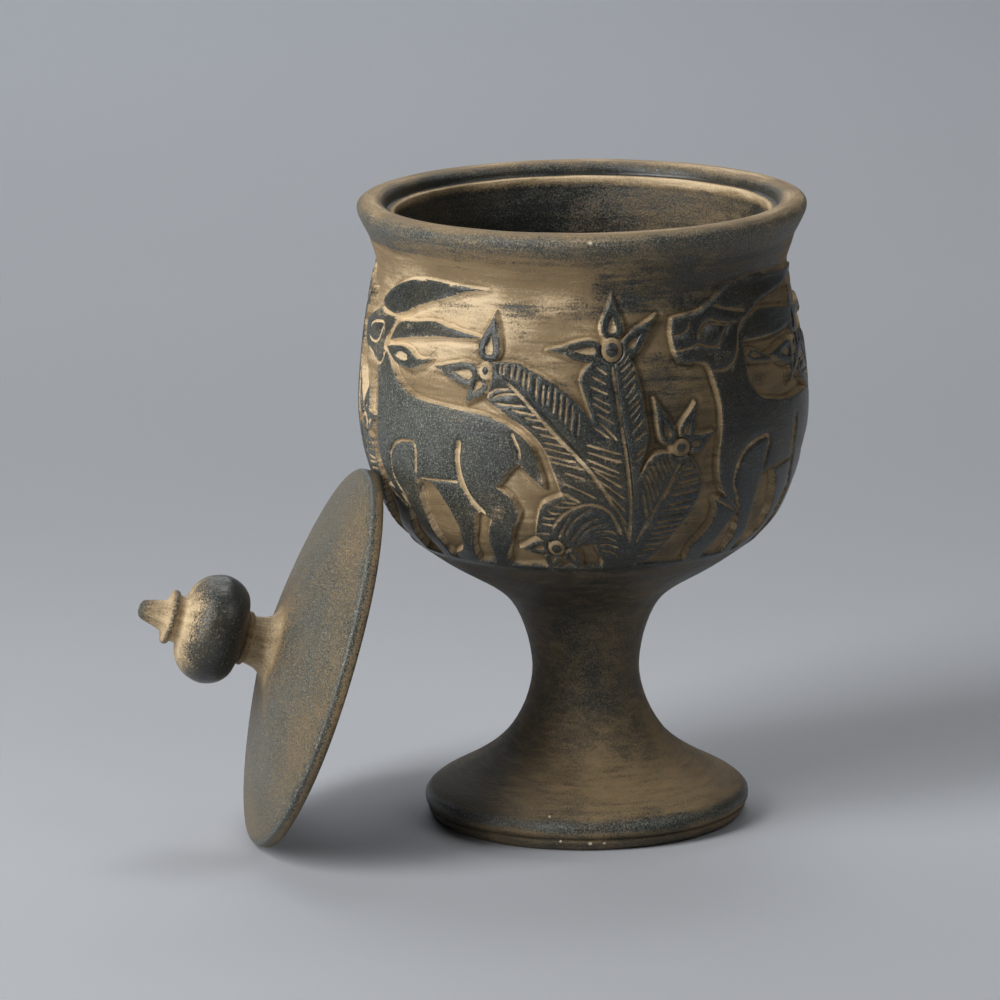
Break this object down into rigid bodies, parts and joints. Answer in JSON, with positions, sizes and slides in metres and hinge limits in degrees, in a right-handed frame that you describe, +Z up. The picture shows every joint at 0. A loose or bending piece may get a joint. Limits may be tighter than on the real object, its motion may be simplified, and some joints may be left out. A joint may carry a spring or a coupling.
{
  "type": "lidded stone vase",
  "caption": "Footed stone goblet carved with antelopes and leafy flowering plants, with a domed, knobbed lid leaning against its bowl.",
  "frame": {"origin": "centre of the foot's flat underside, on the vase's turning axis", "axes": "+Z up along the vase's turning axis; the front of the frieze faces -Y, and the lid leans on the -X side"},
  "size_m": [0.2742, 0.2119, 0.26],
  "materials": {
    "soapstone": "dark polished soapstone, with ochre patina in the carved ground"
  },
  "bodies": {
    "root": {"vase": "soapstone", "lid": "soapstone"}
  },
  "joints": []
}
